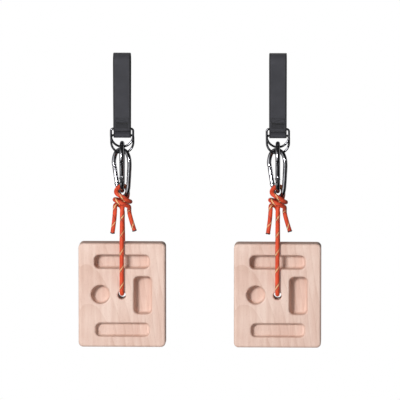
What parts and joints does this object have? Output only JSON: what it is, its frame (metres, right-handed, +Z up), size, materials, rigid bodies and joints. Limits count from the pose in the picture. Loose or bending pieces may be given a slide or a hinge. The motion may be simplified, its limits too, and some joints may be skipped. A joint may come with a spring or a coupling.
{
  "type": "portable hangboard",
  "caption": "Pair of small beech finger-training boards with rounded pockets, each hung on a knotted cord, snap carabiners, D-rings and a webbing loop over a bar.",
  "frame": {"origin": "on the axis of the bar that the strap loops hang over, midway between the two straps", "axes": "+X along the bar, from the left unit to the right unit as the user sees them; +Y away from the user, towards the boards' backs; +Z up"},
  "size_m": [0.418, 0.0575, 0.5077],
  "materials": {
    "webbing": "black woven polyester webbing, matt",
    "thread": "black bonded sewing thread",
    "ring": "dark polished plating",
    "carabiner": "polished steel",
    "spring": "drawn spring wire",
    "cord": "braided orange-red accessory cord with cream and dark tracers",
    "board": "fine sanded beech, unvarnished"
  },
  "bodies": {
    "left_strap": {"left_strap": "webbing", "left_front_stitching": "thread", "left_rear_stitching": "thread"},
    "left_front_ring": {"left_front_d_ring": "ring"},
    "left_rear_ring": {"left_rear_d_ring": "ring"},
    "left_front_carabiner": {"left_front_carabiner_body": "carabiner", "left_hang_cord": "cord"},
    "left_front_gate": {"left_front_carabiner_gate": "carabiner", "left_front_gate_rivet": "carabiner", "left_front_latch_pin": "carabiner", "left_front_gate_spring": "spring"},
    "left_rear_carabiner": {"left_rear_carabiner_body": "carabiner"},
    "left_rear_gate": {"left_rear_carabiner_gate": "carabiner", "left_rear_gate_rivet": "carabiner", "left_rear_latch_pin": "carabiner", "left_rear_gate_spring": "spring"},
    "left_board": {"left_board": "board"},
    "right_strap": {"right_strap": "webbing", "right_front_stitching": "thread", "right_rear_stitching": "thread"},
    "right_front_ring": {"right_front_d_ring": "ring"},
    "right_rear_ring": {"right_rear_d_ring": "ring"},
    "right_front_carabiner": {"right_front_carabiner_body": "carabiner", "right_hang_cord": "cord"},
    "right_front_gate": {"right_front_carabiner_gate": "carabiner", "right_front_gate_rivet": "carabiner", "right_front_latch_pin": "carabiner", "right_front_gate_spring": "spring"},
    "right_rear_carabiner": {"right_rear_carabiner_body": "carabiner"},
    "right_rear_gate": {"right_rear_carabiner_gate": "carabiner", "right_rear_gate_rivet": "carabiner", "right_rear_latch_pin": "carabiner", "right_rear_gate_spring": "spring"},
    "right_board": {"right_board": "board"}
  },
  "joints": [
    {"name": "left_front_ring_sway", "type": "hinge", "parent": "left_strap", "child": "left_front_ring", "pos_m": [-0.134, -0.00375, -0.1131], "axis": [1, 0, 0], "range_deg": [-20, 15]},
    {"name": "left_rear_ring_sway", "type": "hinge", "parent": "left_strap", "child": "left_rear_ring", "pos_m": [-0.134, 0.00375, -0.1251], "axis": [1, 0, 0], "range_deg": [-20, 15]},
    {"name": "left_carabiner_sway", "type": "hinge", "parent": "left_front_ring", "child": "left_front_carabiner", "pos_m": [-0.134, -0.00375, -0.1441], "axis": [1, 0, 0], "range_deg": [-15, 20]},
    {"name": "left_rear_carabiner_swivel", "type": "hinge", "parent": "left_front_carabiner", "child": "left_rear_carabiner", "pos_m": [-0.135, 0.00375, -0.1561], "axis": [0, 0, 1], "range_deg": [-5, 3]},
    {"name": "left_front_gate_hinge", "type": "hinge", "parent": "left_front_carabiner", "child": "left_front_gate", "pos_m": [-0.134, -0.01685, -0.19779], "axis": [-1, 0, 0], "range_deg": [0, 24], "stiffness_Nm_per_rad": 0.25, "springref_deg": -22.92},
    {"name": "left_rear_gate_hinge", "type": "hinge", "parent": "left_rear_carabiner", "child": "left_rear_gate", "pos_m": [-0.14359, 0.01363, -0.20979], "axis": [0.7547, 0.6561, 0], "range_deg": [0, 24], "stiffness_Nm_per_rad": 0.25, "springref_deg": -22.92},
    {"name": "left_board_tilt", "type": "hinge", "parent": "left_front_carabiner", "child": "left_board", "pos_m": [-0.134, 0, -0.4], "axis": [0, 1, 0], "range_deg": [-16, 16]},
    {"name": "right_front_ring_sway", "type": "hinge", "parent": "right_strap", "child": "right_front_ring", "pos_m": [0.134, -0.00375, -0.1131], "axis": [1, 0, 0], "range_deg": [-20, 15]},
    {"name": "right_rear_ring_sway", "type": "hinge", "parent": "right_strap", "child": "right_rear_ring", "pos_m": [0.134, 0.00375, -0.1251], "axis": [1, 0, 0], "range_deg": [-20, 15]},
    {"name": "right_carabiner_sway", "type": "hinge", "parent": "right_front_ring", "child": "right_front_carabiner", "pos_m": [0.134, -0.00375, -0.1441], "axis": [1, 0, 0], "range_deg": [-15, 20]},
    {"name": "right_rear_carabiner_swivel", "type": "hinge", "parent": "right_front_carabiner", "child": "right_rear_carabiner", "pos_m": [0.133, 0.00375, -0.1561], "axis": [0, 0, 1], "range_deg": [-5, 3]},
    {"name": "right_front_gate_hinge", "type": "hinge", "parent": "right_front_carabiner", "child": "right_front_gate", "pos_m": [0.134, -0.01685, -0.19779], "axis": [-1, 0, 0], "range_deg": [0, 24], "stiffness_Nm_per_rad": 0.25, "springref_deg": -22.92},
    {"name": "right_rear_gate_hinge", "type": "hinge", "parent": "right_rear_carabiner", "child": "right_rear_gate", "pos_m": [0.12441, 0.01363, -0.20979], "axis": [0.7547, 0.6561, 0], "range_deg": [0, 24], "stiffness_Nm_per_rad": 0.25, "springref_deg": -22.92},
    {"name": "right_board_tilt", "type": "hinge", "parent": "right_front_carabiner", "child": "right_board", "pos_m": [0.134, 0, -0.4], "axis": [0, 1, 0], "range_deg": [-16, 16]},
    {"name": "strap_spacing", "type": "slide", "parent": "left_strap", "child": "right_strap", "axis": [1, 0, 0], "range_m": [-0.1, 0.15]}
  ],
  "couplings": [
    {"joint": "left_rear_ring_sway", "follows": "left_front_ring_sway", "ratio": 1},
    {"joint": "left_carabiner_sway", "follows": "left_front_ring_sway", "ratio": -1},
    {"joint": "right_rear_ring_sway", "follows": "right_front_ring_sway", "ratio": 1},
    {"joint": "right_carabiner_sway", "follows": "right_front_ring_sway", "ratio": -1}
  ]
}
